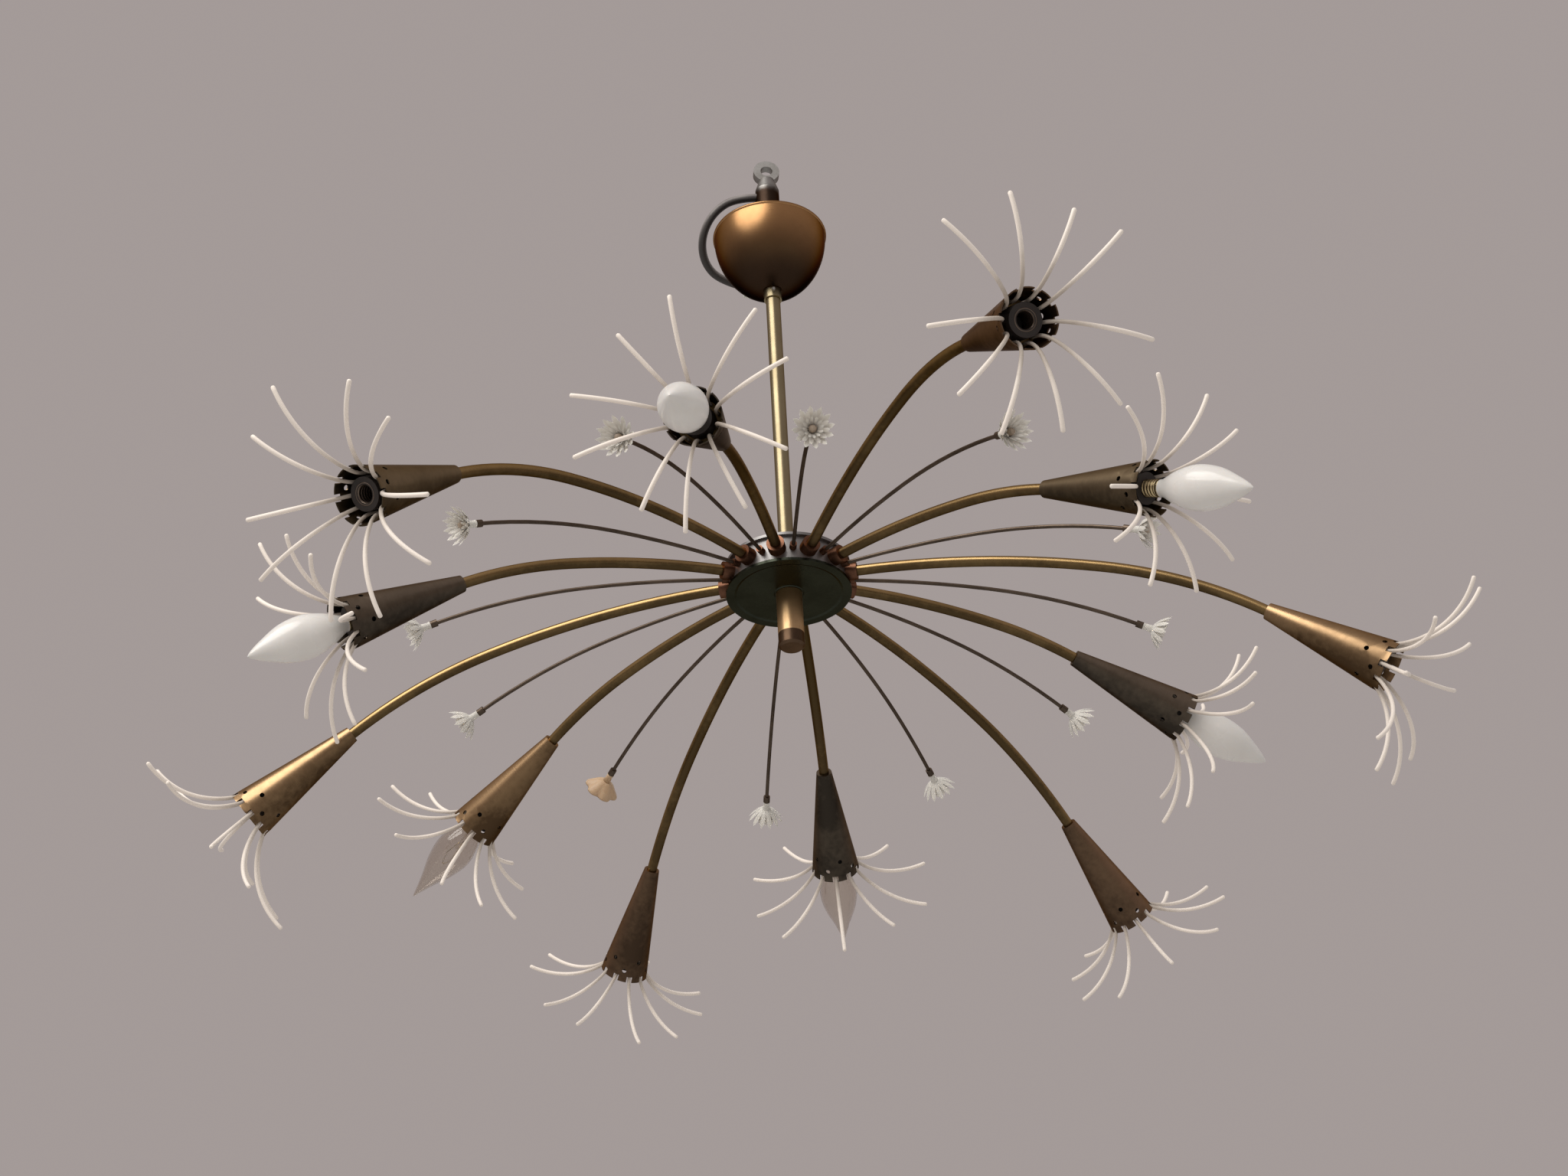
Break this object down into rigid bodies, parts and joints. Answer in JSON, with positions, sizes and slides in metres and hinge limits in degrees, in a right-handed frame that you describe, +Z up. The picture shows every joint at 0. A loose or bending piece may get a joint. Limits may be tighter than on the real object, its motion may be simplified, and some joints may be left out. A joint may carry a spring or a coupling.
{
  "type": "sputnik chandelier",
  "caption": "Hanging light: curved brass arms radiate from a drum hub on a stem and end in notched cone cups with wire stamens and candle bulbs; thin rods between them carry glass florets.",
  "frame": {"origin": "centre of the hanging eye's bore", "axes": "+Z up along the stem; +Y along the bore of the hanging eye; +X to the right, between arms 3 and 4"},
  "size_m": [1.0722, 1.0604, 0.7112],
  "materials": {
    "aged_brass": "aged satin",
    "cup_bronze": "brushed, patinated",
    "opal_bulb": "opal white",
    "clear_bulb": "clear",
    "stamen_white": "smooth sleeve",
    "lampholder": "moulded, brown-black",
    "collar_bronze": "reddish, worn",
    "steel_nut": "turned",
    "lead_white": "insulation",
    "rod_dark": "brown-black",
    "floret_glass": "clear moulded",
    "bead_dark": "dark brown",
    "drum_brass": "polished",
    "plate_dark": "green-black",
    "stem_brass": "pale, polished",
    "collar_bright": "polished",
    "canopy_brass": "copper-brown, polished",
    "eye_zinc": "grey zinc",
    "cable_grey": "light grey sheath",
    "block_white": "moulded",
    "finial_brass": "warm satin",
    "finial_dark": "dark"
  },
  "bodies": {
    "fixture": {"arm_01": "aged_brass", "cup_01": "cup_bronze", "arm_02": "aged_brass", "cup_02": "cup_bronze", "arm_03": "aged_brass", "cup_03": "cup_bronze", "arm_04": "aged_brass", "cup_04": "cup_bronze", "arm_05": "aged_brass", "cup_05": "cup_bronze", "arm_06": "aged_brass", "cup_06": "cup_bronze", "arm_07": "aged_brass", "cup_07": "cup_bronze", "arm_08": "aged_brass", "cup_08": "cup_bronze", "arm_09": "aged_brass", "cup_09": "cup_bronze", "arm_10": "aged_brass", "cup_10": "cup_bronze", "arm_11": "aged_brass", "cup_11": "cup_bronze", "arm_12": "aged_brass", "cup_12": "cup_bronze", "stamens_long": "stamen_white", "stamens_short": "stamen_white", "stamen_rings": "cup_bronze", "lampholders": "lampholder", "arm_collars": "collar_bronze", "arm_locknuts": "steel_nut", "arm_leads": "lead_white", "cup_nuts": "steel_nut", "rods": "rod_dark", "rod_ferrules": "rod_dark", "rod_collars": "collar_bronze", "florets": "floret_glass", "floret_beads": "bead_dark", "hub_drum": "drum_brass", "hub_top_plate": "plate_dark", "hub_bottom_plate": "plate_dark", "tie_rod": "steel_nut", "hub_connectors": "lead_white", "stem": "stem_brass", "stem_collar": "collar_bright", "stem_cores": "lead_white", "eye_locknut": "steel_nut", "hanging_eye": "eye_zinc", "supply_cable": "cable_grey", "cable_block": "block_white", "finial_tube": "finial_brass", "finial_cap": "finial_dark"},
    "canopy_collar": {"canopy_collar": "stem_brass", "canopy_screw": "steel_nut"},
    "canopy": {"canopy": "canopy_brass"},
    "bulb_02": {"bulb_02": "opal_bulb"},
    "bulb_04": {"bulb_04": "opal_bulb"},
    "bulb_06": {"bulb_06": "clear_bulb"},
    "bulb_08": {"bulb_08": "clear_bulb"},
    "bulb_10": {"bulb_10": "opal_bulb"},
    "bulb_12": {"bulb_12": "opal_bulb"}
  },
  "joints": [
    {"name": "canopy_slide", "type": "slide", "parent": "fixture", "child": "canopy_collar", "axis": [0, 0, 1], "range_m": [-0.27, 0.02]},
    {"name": "canopy_turn", "type": "hinge", "parent": "canopy_collar", "child": "canopy", "pos_m": [0, 0, -0.078], "axis": [0, 0, 1], "continuous": true},
    {"name": "bulb_02_screw", "type": "hinge", "parent": "fixture", "child": "bulb_02", "pos_m": [0.24704, -0.26405, -0.53986], "axis": [0.6069, -0.6577, -0.4462], "range_deg": [-1440, 360]},
    {"name": "bulb_04_screw", "type": "hinge", "parent": "fixture", "child": "bulb_04", "pos_m": [0.3428, 0.09185, -0.53009], "axis": [0.8803, 0.2359, -0.4115], "range_deg": [0, 1800]},
    {"name": "bulb_06_screw", "type": "hinge", "parent": "fixture", "child": "bulb_06", "pos_m": [0.06606, 0.34883, -0.54036], "axis": [0.1526, 0.8834, -0.4431], "range_deg": [0, 1800]},
    {"name": "bulb_08_screw", "type": "hinge", "parent": "fixture", "child": "bulb_08", "pos_m": [-0.26337, 0.25583, -0.5462], "axis": [-0.6351, 0.6133, -0.4695], "range_deg": [0, 1800]},
    {"name": "bulb_10_screw", "type": "hinge", "parent": "fixture", "child": "bulb_10", "pos_m": [-0.35734, -0.09575, -0.55431], "axis": [-0.839, -0.2248, -0.4955], "range_deg": [0, 1800]},
    {"name": "bulb_12_screw", "type": "hinge", "parent": "fixture", "child": "bulb_12", "pos_m": [-0.09708, -0.34062, -0.53367], "axis": [-0.2513, -0.8708, -0.4226], "range_deg": [0, 1800]}
  ]
}
